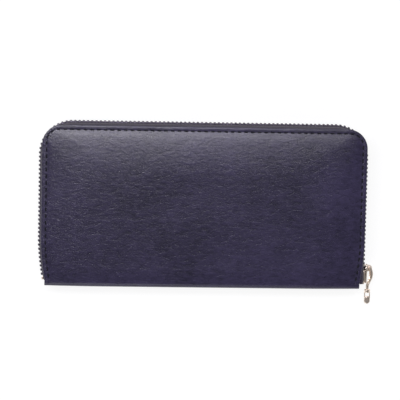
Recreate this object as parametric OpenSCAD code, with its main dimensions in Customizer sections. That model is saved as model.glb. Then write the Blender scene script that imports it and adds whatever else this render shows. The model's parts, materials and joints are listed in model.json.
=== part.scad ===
// Zip around wallet, lying flat. X is its width, Y runs from the spine to the zipped edge, Z is up.
// The origin is the middle of the underside. The zip runs up the right side, along the top edge
// and down the left side; the spine is the fold along the front edge. Millimetres throughout.

/* [Covers] */
// Width across the covers
cover_w = 192.4; // [160:0.2:240]
// Height from the spine's outer face to the zipped edge
cover_h = 96; // [80:0.5:120]
// Thickness of the closed wallet
thick = 25; // [20:0.5:34]
// Corner radius of the covers
cover_r = 12; // [8:0.5:16]
// How far each side edge tapers in towards the spine
side_taper = 2.4; // [1:0.1:4]
// Length of the tapered stretch of a side edge
taper_len = 26; // [18:1:34]
// Leather thickness
leather_t = 1.2; // [0.8:0.1:1.6]
// Outer radius of the roll where a cover turns into the spine
spine_r = 3.5; // [2.5:0.1:5]
// Thickness of the stiffening board in a cover
board_t = 0.8; // [0.5:0.1:1.2]
// Lining thickness
lining_t = 0.6; // [0.4:0.1:0.9]

/* [Stitching] */
// Distance of the stitch line from the cover's edge
stitch_inset = 2.7; // [2:0.1:4]
// Length from one stitch to the next
stitch_pitch = 3.9; // [3:0.1:5]
// Length of thread seen in one stitch
stitch_len = 2.7; // [1.5:0.1:2.8]
// Thread thickness
thread_d = 0.6; // [0.4:0.1:0.9]

/* [Zip] */
// Distance from one tooth to the next
tooth_pitch = 2.5; // [2:0.1:3]
// Width of a tooth along the zip
tooth_w = 1.4; // [1:0.1:1.6]
// Thickness of a tooth through the zip
tooth_t = 2.4; // [2:0.1:3]
// Reach of a tooth across the zip
tooth_h = 2.4; // [2:0.1:2.8]
// Space between the two rows, which the slider's post runs in
row_gap = 1.1; // [1:0.1:1.4]
// Tape thickness
tape_t = 0.8; // [0.5:0.1:1.2]
// How far the zip's middle line stands outside the covers' edge
chain_out = 0.4; // [0.2:0.1:1.5]
// Corner radius of the zip's middle line
chain_r = 18.6; // [14:0.2:24]
// Width of the tape's flange between leather and board
flange_w = 6; // [4:0.5:8]

/* [Slider and pull] */
// Slider length along the zip
slider_l = 11; // [9:0.5:14]
// Slider width across the zip
slider_w = 8.6; // [8:0.2:10]
// Thickness of the slider's plates
plate_t = 1.2; // [0.9:0.1:1.6]
// Thickness of the slider's post
post_t = 0.5; // [0.4:0.1:0.5]
// Distance of the slider's lower end from the spine's outer face
slider_start = 2.5; // [2.2:0.1:6]
// Radius of the pull's cross bar
bar_r = 0.6; // [0.4:0.1:0.8]
// Length of the pull's bowed bail, from cross bar to neck
bail_l = 11.8; // [8:0.2:14]
// Length of the pull's end tab with its collar
tab_l = 9.1; // [7:0.1:12]
// Width of the end tab
tab_w = 3.6; // [2.8:0.1:3.8]
// Thickness of the end tab
tab_t = 1.2; // [0.9:0.1:1.6]
// Radius of the small hole in the end tab
tab_hole_r = 0.8; // [0.5:0.1:1]

/* [Card pockets] */
// Thickness of one card pocket layer
pocket_t = 0.6; // [0.4:0.1:0.8]
// Room beside the card pockets, from a cover's side edge to a pocket
pocket_margin = 17.2; // [17:0.2:30]
// Height of the tallest card pocket layer above the spine
pocket_h = 68; // [50:1:80]
// Step from one card pocket's edge to the next
pocket_step = 10; // [7:0.5:12]

/* [Coin pocket] */
// Room beside the coin pocket, from a cover's side edge to the pocket
coin_margin = 8.2; // [7:0.2:20]
// Room above the coin pocket's walls, from their edge to the covers' zipped edge
coin_room = 21; // [20:0.5:40]
// Thickness of the coin pocket
coin_t = 6; // [5.8:0.1:7]
// Thickness of its walls
coin_wall = 0.8; // [0.5:0.1:1]
// Distance of its base from the spine's outer face
coin_start = 4.5; // [4:0.5:8]
// Distance from one turn of its coil to the next
coil_pitch = 2; // [1.5:0.1:3]
// Length of its slider
coin_slider_l = 8; // [6:0.5:10]
// Length of its pull
coin_pull_l = 12; // [8:0.5:14]

/* [Side gussets] */
// Depth of the fold
gusset_d = 8.5; // [6:0.5:9]
// Length of a gusset along the side
gusset_l = 58; // [30:1:60]
// Thickness of the gusset
gusset_t = 0.5; // [0.4:0.1:0.7]

/* [Fits] */
// Gap between pieces that move past each other
clear = 0.3; // [0.2:0.05:0.4]

/* [Hidden] */
pockets = 4;
$fn = 64;
eps = 0.01;

leather = [0.235, 0.22, 0.3];
inside = [0.16, 0.15, 0.2];
cloth = [0.25, 0.23, 0.32];
gold = [0.84, 0.76, 0.66];
gunmetal = [0.2, 0.18, 0.19];
thread = [0.09, 0.08, 0.15];

mid = thick/2;
hw = cover_w/2;
coin_w = cover_w - 2*coin_margin;
coin_h = cover_h - coin_start - coin_room;
pocket_w = cover_w - 2*pocket_margin;
spine_hw = hw - side_taper - 0.5;
top = cover_h/2;
bot = -cover_h/2;
taper_y = bot + taper_len;
panel_y = bot + spine_r;
board_inset = flange_w + chain_out + 0.6;
board_z = leather_t;
lining_z = board_z + board_t;
pocket_z = lining_z + lining_t;

// the zip's middle line
chain_hw = hw + chain_out;
chain_top = top + chain_out + 0.2;
chain_y = bot + 1.5;
row_z = mid - row_gap/2 - tooth_h;
tape_out = tape_t/4;
tape_in = tape_out - tape_t;

// slider and pull, on the right side
slider_y = bot + slider_start + slider_l/2;
plate_in = tooth_t/2 + clear;
plate_out = plate_in + plate_t;
eye_r = 2*bar_r;
pull_x = chain_hw + plate_out + eye_r + clear;
pull_y = slider_y + slider_l/2 - 2*eye_r + 0.5;
neck_x = max(chain_hw + tooth_t/2 + 2*clear + tab_w/2, pull_x - 1);
neck_y = pull_y - bail_l;
arm_in = 1.5;
arm_t = 1.1;
stem_r = 0.45;

// coin pocket
coin_hw = coin_w/2;
coin_y = bot + coin_start;
coin_top = coin_y + coin_h;
coin_z = mid - coin_t/2;
coil_len = coin_w - 12;
coil_h = 2.2;
coil_w = 0.75;
coil_y = coin_top - 0.7;
coin_slider_x = coil_len/2 - coin_slider_l/2 - 2;
coin_plate_t = 0.8;
coin_plate_y = coil_y + coil_h + clear;
coin_bar_r = 0.45;
coin_hinge_x = coin_slider_x - 2;
coin_hinge_y = coin_plate_y + coin_plate_t + 1.3;

// side gussets, just outside the card pockets
gusset_x = coin_hw + 2.5;

// A point on a line that runs up the right side, along the top and down the left, s along it:
// [x, y, heading]. hw, top and r are its half width, top and corner radius; y0 is where it
// starts and yt where its tapered stretch ends; tr and tl are the taper on the right and left.
function run_at(s, hw, top, r, y0, yt, tr, tl) =
    let (
        len_r = norm([tr, yt - y0]), side = top - r - yt, arc = PI*r/2,
        a = s - len_r, b = a - side, c = b - arc, d = c - 2*(hw - r), e = d - arc, f = e - side
    )
    a <= 0 ? [hw - tr*(1 - s/len_r), y0 + (yt - y0)*s/len_r, atan2(yt - y0, tr)] :
    b <= 0 ? [hw, yt + a, 90] :
    c <= 0 ? let (t = b/arc*90) [hw - r + r*cos(t), top - r + r*sin(t), 90 + t] :
    d <= 0 ? [hw - r - c, top, 180] :
    e <= 0 ? let (t = 90 + d/arc*90) [-hw + r + r*cos(t), top - r + r*sin(t), 90 + t] :
    f <= 0 ? [-hw, top - r - e, 270] :
    let (len_l = norm([tl, yt - y0]))
    [-hw + tl*f/len_l, yt - (yt - y0)*f/len_l, atan2(y0 - yt, tl)];

function run_len(hw, top, r, y0, yt, tr, tl) =
    norm([tr, yt - y0]) + norm([tl, yt - y0]) + 2*(top - r - yt) + PI*r + 2*(hw - r);

function chain_at(s) =
    run_at(s, chain_hw, chain_top, chain_r, chain_y, taper_y, 0, side_taper);
chain_len = run_len(chain_hw, chain_top, chain_r, chain_y, taper_y, 0, side_taper);

// A flat outline: round corners at the top, sides that taper from yt down to y0
module outline(hw, top, r, y0, yt, tr, tl) {
    difference() {
        polygon([[hw, top], [hw, yt], [hw - tr, y0], [-hw + tl, y0], [-hw, yt], [-hw, top]]);
        for (side = [-1, 1]) translate([side*(hw - r), top - r]) difference() {
            translate([(side - 1)/2*(r + 1), 0]) square(r + 1);
            circle(r);
        }
    }
}

module cover_outline(inset, y0) {
    outline(hw - inset, top - inset, max(cover_r - inset, 1), y0, taper_y, side_taper,
        side_taper);
}

// The zip's outline, grown by o; below lengthens it past its lower end
module chain_outline(o, below = 0) {
    outline(chain_hw + o, chain_top + o, chain_r + o, chain_y - below, taper_y, 0, side_taper);
}

module slab(z, t) {
    translate([0, 0, z]) linear_extrude(t) children();
}

// The upper half of the wallet is the lower half turned over in the middle plane
module upper() {
    translate([0, 0, thick]) mirror([0, 0, 1]) children();
}

// Short blocks set along a line: positions is a list of [x, y, heading]
module blocks(positions, l, w, z, h) {
    for (p = positions)
        translate([p[0], p[1], z + h/2]) rotate([0, 0, p[2]]) cube([l, w, h], center = true);
}

stitch_hw = hw - stitch_inset;
stitch_top = top - stitch_inset;
stitch_r = max(cover_r - stitch_inset - 1.8, 2);
stitch_y = panel_y + 3;
stitch_len_all = run_len(stitch_hw, stitch_top, stitch_r, stitch_y, taper_y, side_taper, side_taper);

module stitch_ring(w, below) {
    grow = w/2;
    difference() {
        outline(stitch_hw + grow, stitch_top + grow, stitch_r + grow, stitch_y - below,
            taper_y, side_taper, side_taper);
        outline(stitch_hw - grow, stitch_top - grow, stitch_r - grow, stitch_y - below - 1,
            taper_y, side_taper, side_taper);
    }
}

module panel() {
    color(leather) difference() {
        slab(0, leather_t) cover_outline(0, panel_y);
        slab(-eps, thread_d + eps) stitch_ring(2*thread_d, 0.6);
    }
}

module stitching() {
    count = floor(stitch_len_all/stitch_pitch);
    color(thread) blocks([for (i = [0:count - 1])
        run_at((i + 0.5)*stitch_len_all/count, stitch_hw, stitch_top, stitch_r, stitch_y,
            taper_y, side_taper, side_taper)], stitch_len, thread_d, 0.1, thread_d - 0.1);
}

module board() {
    color(inside) slab(board_z, board_t) cover_outline(board_inset, panel_y + 1);
}

module lining() {
    color(inside) slab(lining_z, lining_t) intersection() {
        cover_outline(1.6, panel_y + 0.4);
        chain_outline(tape_in - clear);
    }
}

// Card pocket i, counted from the lining
module card_pocket(i) {
    h = pocket_h - i*pocket_step;
    color(leather) slab(pocket_z + (i - 1)*pocket_t, pocket_t)
        translate([-pocket_w/2, panel_y + 0.8]) square([pocket_w, h]);
}

// Half of the spine: the roll from a cover, and the wall up to the middle plane
module spine_half() {
    color(leather) rotate([90, 0, 90]) translate([0, 0, -spine_hw])
        linear_extrude(2*spine_hw) {
            intersection() {
                translate([panel_y, spine_r]) difference() {
                    circle(spine_r);
                    circle(spine_r - leather_t);
                }
                translate([bot, 0]) square(spine_r);
            }
            translate([bot, spine_r]) square([leather_t, mid - clear/2 - spine_r]);
        }
}

// Half of the zip's tape: a flange between leather and board, and the wall up to the teeth
module zip_tape() {
    color(cloth) {
        slab(leather_t, row_z - leather_t) difference() {
            chain_outline(tape_out);
            chain_outline(tape_in, 1);
        }
        slab(leather_t, board_t) difference() {
            intersection() {
                chain_outline(tape_in + eps);
                cover_outline(0.2, panel_y);
            }
            cover_outline(flange_w, panel_y - 1);
        }
    }
}

module zip_teeth() {
    first = 3;
    count = floor((chain_len - 2*first)/tooth_pitch);
    color(gunmetal) blocks([for (i = [0:count - 1]) chain_at(first + (i + 0.5)*tooth_pitch)],
        tooth_w, tooth_t, row_z, tooth_h);
}

module stop_block(s) {
    p = chain_at(s);
    color(gold) translate([p[0], p[1], row_z + tooth_h/2]) rotate([0, 0, p[2]])
        cube([1.6, tooth_t, tooth_h], center = true);
}

// A folded side gusset over a gap, from z to z + h: a V that points inwards
module gusset(side, z, h) {
    g = gusset_t;
    x0 = gusset_x;
    x1 = gusset_x - gusset_d;
    color(cloth) translate([0, coin_y + 1 + gusset_l, 0]) rotate([90, 0, 0])
        linear_extrude(gusset_l) scale([side, 1])
            polygon([[x0, z], [x0, z + 1.4*g], [x1 + 2.4*g, z + h/2], [x0, z + h - 1.4*g],
                [x0, z + h], [x0 - 1, z + h], [x1, z + h/2], [x0 - 1, z]]);
}

module coin_wall() {
    color(leather) translate([-coin_hw, coin_y, coin_z]) cube([coin_w, coin_h, coin_wall]);
}

module coin_base() {
    color(cloth) translate([-coin_hw, coin_y, coin_z + coin_wall])
        cube([coin_w, coin_wall, coin_t - 2*coin_wall]);
}

module coin_side(side) {
    color(cloth)
        translate([side*(coin_hw - coin_wall/2), coin_y + (coin_h + coin_wall)/2, mid])
            cube([coin_wall, coin_h - coin_wall, coin_t - 2*coin_wall], center = true);
}

coil_z = mid - row_gap/2 + 0.05 - coil_w;

module coin_tape() {
    color(cloth) translate([-coin_hw, coin_top, coin_z])
        cube([coin_w, 0.6, coil_z - coin_z]);
}

module coin_coil() {
    count = floor(coil_len/coil_pitch);
    color(cloth) blocks([for (i = [0:count - 1])
        [(i + 0.5 - count/2)*coil_pitch, coil_y + coil_h/2, 0]], 1.1, coil_h, coil_z, coil_w);
}

// A slider in its own axes: X out of the zip, Y along it, Z across it. Each plate is wide at
// the end where the rows part and narrow at the other; lips hold the lower row only.
module slider_plates(l, w, w_in, gap, t) {
    module plate(width, x) {
        translate([x, 0, 0]) rotate([0, 90, 0]) linear_extrude(t) intersection() {
            square([width, l], center = true);
            union() {
                translate([0, l/2 - 0.32*l]) circle(0.62*width);
                translate([-0.4*width, -l/2]) square([0.8*width, 0.7*l]);
            }
        }
    }
    plate(w, gap);
    plate(w_in, -gap - t);
    translate([0, l/2 - 0.3*l, 0]) cube([2*gap + eps, 0.28*l, post_t], center = true);
}

module slider_body() {
    lip_z = row_z - clear - 1;
    slot_in = tape_in - clear;
    slot_out = tape_out + clear;
    color(gold) translate([chain_hw, slider_y, 0]) {
        translate([0, 0, mid]) slider_plates(slider_l, slider_w, slider_w, plate_in, plate_t);
        for (x = [[-plate_in - eps, slot_in], [slot_out, plate_in + eps]])
            translate([x[0], -0.3*slider_l, lip_z]) cube([x[1] - x[0], 0.6*slider_l, 1]);
    }
}

// The lug on the slider's outer plate, with the hole that the cross bar turns in
module slider_lug() {
    x0 = chain_hw + plate_out;
    color(gold) translate([0, 0, mid - 1.2]) difference() {
        linear_extrude(2.4) {
            translate([pull_x, pull_y]) circle(eye_r + 0.6);
            translate([x0, pull_y - eye_r - 0.6]) square([pull_x - x0, 2*eye_r + 1.2]);
        }
        translate([pull_x, pull_y, -1]) cylinder(r = bar_r + clear, h = 5);
        translate([x0 - 4, pull_y - 5, -1]) cube([4, 10, 5]);
    }
}

module pull_crossbar() {
    color(gold) translate([pull_x, pull_y, mid - arm_in]) cylinder(r = bar_r, h = 2*arm_in);
}

// The bowed bail: two arms from the cross bar, which meet at a neck, with a headed stem
module pull_bail() {
    bow_r = 0.62*bail_l;
    out = pull_x + 2.4 - bow_r;
    color(gold) {
        translate([0, 0, mid - arm_in - arm_t]) difference() {
            linear_extrude(2*(arm_in + arm_t)) {
                translate([pull_x, pull_y]) circle(eye_r);
                difference() {
                    translate([out, pull_y - 0.42*bail_l]) circle(bow_r);
                    translate([out - 1.1, pull_y - 0.44*bail_l]) circle(bow_r - 0.7);
                    translate([out - 20, pull_y - 30]) square([pull_x - out + 20 - 0.4, 60]);
                }
                translate([neck_x - stem_r, neck_y]) square([pull_x + 1 - neck_x, 1.6]);
            }
            translate([chain_hw, neck_y + 1.8, arm_t])
                cube([20, bail_l + 10, 2*arm_in]);
        }
        translate([neck_x, neck_y + 0.8, mid]) rotate([90, 0, 0]) {
            cylinder(r = stem_r, h = 3.4);
            translate([0, 0, 3.2]) cylinder(r = 0.8, h = 0.6);
        }
    }
}

// The end tab: a collar round the bail's stem, and a flat tongue with a small hole
module pull_tab() {
    y0 = neck_y - 1.1;
    color(gold) difference() {
        union() {
            translate([neck_x, y0, mid]) rotate([90, 0, 0]) cylinder(r = tab_w/2, h = 2.9);
            translate([neck_x, 0, mid - tab_t/2]) linear_extrude(tab_t) {
                translate([0, y0 - tab_l + tab_w/2]) circle(tab_w/2);
                translate([-tab_w/2, y0 - tab_l + tab_w/2]) square([tab_w, tab_l - tab_w/2 - 1]);
            }
        }
        translate([neck_x, y0 + 1, mid]) rotate([90, 0, 0]) cylinder(r = stem_r + 0.2, h = 3);
        translate([neck_x, y0 - 0.8, mid]) rotate([90, 0, 0]) cylinder(r = 1.1, h = 1.5);
        translate([neck_x, y0 - 4.2, 0]) cylinder(r = tab_hole_r, h = thick);
    }
}

module coin_slider() {
    color(gold) {
        translate([coin_slider_x, coil_y + coil_h/2, mid]) rotate([0, 0, 90])
            slider_plates(coin_slider_l, 5.6, coin_t - 2*coin_wall - 2*clear,
                coil_h/2 + clear, coin_plate_t);
        y0 = coin_plate_y + coin_plate_t - eps;
        translate([0, 0, mid - 0.7]) difference() {
            linear_extrude(1.4) {
                translate([coin_hinge_x, coin_hinge_y]) circle(1.2);
                translate([coin_hinge_x - 1.2, y0]) square([2.4, coin_hinge_y - y0]);
            }
            translate([coin_hinge_x, coin_hinge_y, -1])
                cylinder(r = coin_bar_r + clear, h = 4);
        }
    }
}

module coin_pull_tab() {
    color(gold) translate([coin_hinge_x, coin_hinge_y, mid]) difference() {
        rotate([90, 0, 0]) translate([0, 0, -0.5]) linear_extrude(1) difference() {
            union() {
                translate([-coin_pull_l + 2.2, 0]) circle(2.2);
                translate([-coin_pull_l + 2.2, -2.2]) square([coin_pull_l - 1.5, 4.4]);
            }
            translate([-2.4, -1]) square([5, 2]);
            translate([-coin_pull_l + 2.4, 0]) circle(0.9);
        }
        translate([0, 0, -3]) cylinder(r = coin_bar_r, h = 6);
    }
}

module coin_pull_bar() {
    color(gold) translate([coin_hinge_x, coin_hinge_y, mid - 2.2])
        cylinder(r = coin_bar_r, h = 4.4);
}

module coin_end_stops() {
    color(gold) for (side = [-1, 1])
        translate([side*(coil_len/2 + 1), coil_y + coil_h/2, mid])
            cube([1, coil_h, row_gap + 2*coil_w - 0.2], center = true);
}

panel();  // bottom_panel
board();  // bottom_board
lining();  // bottom_lining
card_pocket(1);  // bottom_card_pocket_1
card_pocket(2);  // bottom_card_pocket_2
card_pocket(3);  // bottom_card_pocket_3
card_pocket(4);  // bottom_card_pocket_4
spine_half();  // spine_lower
stitching();  // stitching_lower
zip_tape();  // zip_tape_lower
zip_teeth();  // zip_teeth_lower
stop_block(chain_len - 1.4);  // zip_bottom_stop
stop_block(1.2);  // zip_top_stop_lower
gusset(-1, pocket_z, coin_z - pocket_z - clear);  // gusset_left_lower
gusset(1, pocket_z, coin_z - pocket_z - clear);  // gusset_right_lower
upper() panel();  // top_panel
upper() board();  // top_board
upper() lining();  // top_lining
upper() card_pocket(1);  // top_card_pocket_1
upper() card_pocket(2);  // top_card_pocket_2
upper() card_pocket(3);  // top_card_pocket_3
upper() card_pocket(4);  // top_card_pocket_4
upper() spine_half();  // spine_upper
upper() stitching();  // stitching_upper
upper() zip_tape();  // zip_tape_upper
upper() zip_teeth();  // zip_teeth_upper
upper() stop_block(1.2);  // zip_top_stop_upper
coin_wall();  // coin_wall_back
upper() coin_wall();  // coin_wall_front
coin_base();
coin_side(-1);  // coin_side_left
coin_side(1);  // coin_side_right
coin_tape();  // coin_tape_back
upper() coin_tape();  // coin_tape_front
coin_coil();  // coin_coil_back
upper() coin_coil();  // coin_coil_front
coin_end_stops();
upper() gusset(-1, pocket_z + clear, coin_z - pocket_z - clear);  // gusset_left_upper
upper() gusset(1, pocket_z + clear, coin_z - pocket_z - clear);  // gusset_right_upper
coin_slider();
coin_pull_tab();
coin_pull_bar();
slider_body();
slider_lug();
pull_bail();
pull_crossbar();
pull_tab();
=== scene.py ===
# Zip around wallet, lying closed on a pale floor. Lengths are in millimetres and become metres
# where a mesh is made.
import json
import math

import bmesh
import bpy
import numpy as np
from mathutils import Matrix, Vector, noise


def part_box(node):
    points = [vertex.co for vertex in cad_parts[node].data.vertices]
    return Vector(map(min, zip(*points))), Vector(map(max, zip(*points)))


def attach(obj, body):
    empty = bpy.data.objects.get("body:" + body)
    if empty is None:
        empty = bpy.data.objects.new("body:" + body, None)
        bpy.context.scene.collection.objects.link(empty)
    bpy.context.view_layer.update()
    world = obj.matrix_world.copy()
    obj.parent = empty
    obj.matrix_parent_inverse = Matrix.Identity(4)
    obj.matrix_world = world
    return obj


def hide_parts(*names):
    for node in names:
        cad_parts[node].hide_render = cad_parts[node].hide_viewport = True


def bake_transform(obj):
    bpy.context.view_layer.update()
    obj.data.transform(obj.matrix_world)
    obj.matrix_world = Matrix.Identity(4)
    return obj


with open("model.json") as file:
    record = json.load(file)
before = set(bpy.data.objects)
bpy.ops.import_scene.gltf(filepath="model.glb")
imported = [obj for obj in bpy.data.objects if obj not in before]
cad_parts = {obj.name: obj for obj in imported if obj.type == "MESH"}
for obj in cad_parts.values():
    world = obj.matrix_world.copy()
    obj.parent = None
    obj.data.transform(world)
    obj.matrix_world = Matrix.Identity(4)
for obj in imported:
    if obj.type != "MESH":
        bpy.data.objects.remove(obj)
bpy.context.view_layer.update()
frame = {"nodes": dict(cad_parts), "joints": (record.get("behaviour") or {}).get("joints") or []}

mm = 0.001


def nodeBox(node):
    low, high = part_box(node)
    return np.array(low) / mm, np.array(high) / mm


panelLow, panelHigh = nodeBox("top_panel")
spineLow = nodeBox("spine_upper")[0]
teethLow = nodeBox("zip_teeth_lower")[0]
coverHalf = panelHigh[0]
coverTop = panelHigh[1]
coverBottom = spineLow[1]
panelStart = panelLow[1]
thick = panelHigh[2]
middle = thick / 2
joints = {j["name"]: j for j in frame["joints"]}

cover = {
    "cornerRadius": 12.0,
    "lowerRadius": 17.0,
    "taper": 2.4,
    "taperStart": coverBottom + 26,
    "rollRadius": panelStart - coverBottom,
    "stitchInset": 2.7,
    "stitchRadius": 7.5,
    "crown": 0.95,
    "sag": 0.12,
    "ease": 0.35,
}
chain = {
    "half": coverHalf + 0.4,
    "top": coverTop + 0.6,
    "radius": 18.6,
    "start": coverBottom + 3.2,
    "pitch": 2.5,
    "first": 2.6,
    "last": 2.4,
    "upperBulk": 1.22,
    "lowerBulk": 0.62,
}


class Socket:  # one output of a node, so that maths can be written as an expression
    def __init__(self, finish, output):
        self.finish, self.output = finish, output

    def maths(self, operation, other, swapped=False):
        first, second = (other, self) if swapped else (self, other)
        return self.finish.node("ShaderNodeMath", {"operation": operation}, {0: first, 1: second})

    def __add__(self, other):
        return self.maths("ADD", other)

    def __sub__(self, other):
        return self.maths("SUBTRACT", other)

    def __rsub__(self, other):
        return self.maths("SUBTRACT", other, True)

    def __mul__(self, other):
        return self.maths("MULTIPLY", other)

    def __pow__(self, other):
        return self.maths("POWER", other)

    __radd__ = __add__
    __rmul__ = __mul__


class Finish:
    def __init__(self, name):
        self.material = bpy.data.materials.new(name)
        self.material.use_nodes = True
        self.tree = self.material.node_tree
        self.tree.nodes.clear()
        self.shader = self.tree.nodes.new("ShaderNodeBsdfPrincipled")
        end = self.tree.nodes.new("ShaderNodeOutputMaterial")
        self.tree.links.new(self.shader.outputs["BSDF"], end.inputs["Surface"])

    def node(self, kind, settings=None, values=None, output=0):
        made = self.tree.nodes.new(kind)
        for name, value in (settings or {}).items():
            if name == "stops":
                ramp = made.color_ramp.elements
                while len(ramp) < len(value):
                    ramp.new(0.5)
                for element, (place, colour) in zip(ramp, value):
                    element.position, element.color = place, colour
            else:
                setattr(made, name, value)
        for name, value in (values or {}).items():
            self.feed(made.inputs[name], value)
        return Socket(self, made.outputs[output])

    def feed(self, target, value):
        if isinstance(value, Socket):
            self.tree.links.new(value.output, target)
        else:
            target.default_value = value

    def place(self, scale):
        spot = self.node("ShaderNodeTexCoord", output="Object")
        return self.node("ShaderNodeMapping", {}, {"Vector": spot, "Scale": scale})

    def noise(self, scale, detail=3.0, rough=0.55, stretch=(1, 1, 1), warp=0.0):
        return self.node("ShaderNodeTexNoise", {}, {
            "Vector": self.place(stretch), "Scale": scale, "Detail": detail,
            "Roughness": rough, "Distortion": warp})

    def mix(self, low, high, factor):
        return self.node("ShaderNodeMix", {"data_type": "RGBA"}, {0: factor, 6: low, 7: high}, 2)

    def ramp(self, value, low, high):
        return self.node("ShaderNodeMapRange", {},
                         {"Value": value, "From Min": low, "From Max": high})

    def bump(self, height, depth, strength=1.0, below=None):
        values = {"Height": height, "Distance": depth * mm, "Strength": strength}
        if below:
            values["Normal"] = below
        return self.node("ShaderNodeBump", {}, values)

    def set(self, **values):
        for name, value in values.items():
            self.feed(self.shader.inputs[name.replace("_", " ")], value)
        return self.material


def rgb(red, green, blue):
    return (red, green, blue, 1.0)


def leatherFinish(name, dark, light, rough):
    f = Finish(name)
    wrinkle = f.noise(1100, 4, 0.62, (0.42, 1.0, 1.0), 0.5)
    pore = f.node("ShaderNodeTexVoronoi", {"feature": "DISTANCE_TO_EDGE"},
                  {"Vector": f.place((0.5, 1.0, 1.0)), "Scale": 1500.0})
    cells = f.ramp(pore, 0.0, 0.22)
    broad = f.noise(24, 3, 0.5)
    crease = f.noise(430, 3, 0.6, (0.42, 1.0, 1.0), 0.8)
    shade = f.ramp(broad * 0.45 + crease * 0.4 + wrinkle * 0.35, 0.46, 0.76)
    fine = f.bump(cells * 0.3 + wrinkle, 0.07, 0.9)
    soft = f.bump(crease, 0.16, 0.8, fine)
    return f.set(Base_Color=f.mix(dark, light, shade), Roughness=rough + wrinkle * 0.1,
                 Normal=soft, Coat_Weight=0.1, Coat_Roughness=0.25)


def clothFinish(name, dark, light, scale, rough=0.8):
    f = Finish(name)
    warp, weft = (f.node("ShaderNodeTexWave", {"bands_direction": "DIAGONAL"}, {
        "Vector": f.place(lean), "Scale": scale, "Distortion": 0.4, "Detail": 1.0})
                  for lean in ((1, 1, 1), (1, -1, 1.3)))
    fuzz = f.noise(2600, 3)
    weave = warp * 0.6 + weft * 0.4
    colour = f.mix(dark, light, f.ramp(weave * 0.7 + fuzz * 0.5, 0.3, 0.95))
    return f.set(Base_Color=colour, Roughness=rough, Sheen_Weight=0.06, Sheen_Roughness=0.5,
                 Normal=f.bump(weave + fuzz * 0.4, 0.09, 0.7))


def threadFinish(name, dark, light):
    f = Finish(name)
    twist = f.node("ShaderNodeTexWave", {"bands_direction": "DIAGONAL"},
                   {"Vector": f.place((1, 1, 1)), "Scale": 620.0, "Distortion": 0.6})
    return f.set(Base_Color=f.mix(dark, light, twist), Roughness=0.7, Specular_IOR_Level=0.3,
                 Normal=f.bump(twist, 0.08, 0.8))


def metalFinish(name, dark, light, rough, brush=0.03):
    f = Finish(name)
    cloud = f.noise(420, 3)
    scratch = f.noise(2200, 2, 0.5, (1.0, 0.12, 1.0))
    return f.set(Base_Color=f.mix(dark, light, f.ramp(cloud, 0.3, 0.7)), Metallic=1.0,
                 Roughness=rough + scratch * 0.12, Normal=f.bump(scratch, brush, 0.25))


finishes = {
    "cover": leatherFinish("cover leather", rgb(0.008, 0.006, 0.022), rgb(0.036, 0.028, 0.074),
                           0.24),
    "inner": leatherFinish("inner leather", rgb(0.018, 0.015, 0.036), rgb(0.036, 0.031, 0.062),
                           0.36),
    "lining": clothFinish("lining cloth", rgb(0.020, 0.018, 0.034), rgb(0.050, 0.045, 0.080),
                          420.0, 0.6),
    "tape": clothFinish("zip tape", rgb(0.010, 0.006, 0.017), rgb(0.046, 0.032, 0.062), 560.0),
    "thread": threadFinish("stitch thread", rgb(0.0015, 0.0015, 0.005), rgb(0.006, 0.005, 0.014)),
    "teeth": metalFinish("dark zip teeth", rgb(0.040, 0.034, 0.052), rgb(0.125, 0.11, 0.145),
                         0.28),
    "gold": metalFinish("pale gold", rgb(0.82, 0.68, 0.56), rgb(0.97, 0.86, 0.76), 0.24),
    "coil": threadFinish("coin zip coil", rgb(0.012, 0.010, 0.022), rgb(0.045, 0.040, 0.070)),
}


def addMesh(name, points, faces, finish, body=None, smooth=True):
    mesh = bpy.data.meshes.new(name)
    mesh.from_pydata([tuple(p) for p in np.asarray(points, float) * mm], [], faces)
    mesh.validate()
    work = bmesh.new()
    work.from_mesh(mesh)
    bmesh.ops.recalc_face_normals(work, faces=work.faces)
    work.to_mesh(mesh)
    work.free()
    mesh.polygons.foreach_set("use_smooth", [smooth] * len(mesh.polygons))
    piece = bpy.data.objects.new(name, mesh)
    bpy.context.scene.collection.objects.link(piece)
    mesh.materials.append(finishes[finish])
    if body:
        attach(piece, body)
    return piece


def gridFaces(rows, cols, start=0, loop=False):
    last = cols if loop else cols - 1
    return [(start + i * cols + j, start + i * cols + (j + 1) % cols,
             start + (i + 1) * cols + (j + 1) % cols, start + (i + 1) * cols + j)
            for i in range(rows - 1) for j in range(last)]


def tube(rings):  # closed skin over rings of equal size, capped at both ends
    rings = np.asarray(rings, float)
    rows, cols = rings.shape[:2]
    faces = gridFaces(rows, cols, loop=True)
    faces.append(tuple(range(cols - 1, -1, -1)))
    faces.append(tuple(range((rows - 1) * cols, rows * cols)))
    return rings.reshape(-1, 3), faces


def gather(parts):  # lists of (points, faces) as one
    points, faces, count = [], [], 0
    for p, f in parts:
        points.append(p)
        faces += [tuple(i + count for i in face) for face in f]
        count += len(p)
    return np.vstack(points), faces


# a flat outline with rounded edges, from low to high along Z, then moved by place
def rounded(name, outline, low, high, radius, finish, body=None, place=None, segments=3):
    work = bmesh.new()
    rim = [work.verts.new((x, y, low)) for x, y in outline]
    base = work.faces.new(rim)
    lifted = bmesh.ops.extrude_face_region(work, geom=[base])
    bmesh.ops.translate(work, vec=(0, 0, high - low),
                        verts=[g for g in lifted["geom"] if isinstance(g, bmesh.types.BMVert)])
    bmesh.ops.recalc_face_normals(work, faces=work.faces)
    sharp = [e for e in work.edges if len(e.link_faces) == 2 and e.calc_face_angle() > 1.2]
    bmesh.ops.bevel(work, geom=sharp, offset=radius, segments=segments, affect="EDGES",
                    profile=0.5, clamp_overlap=True)
    if place is not None:
        work.transform(place)
    work.verts.index_update()
    points = [tuple(v.co) for v in work.verts]
    faces = [tuple(v.index for v in f.verts) for f in work.faces]
    work.free()
    piece = addMesh(name, points, faces, finish, body)
    sharpen(piece)
    return piece


def sharpen(piece, angle=40):
    piece.data.set_sharp_from_angle(angle=math.radians(angle))


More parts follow.
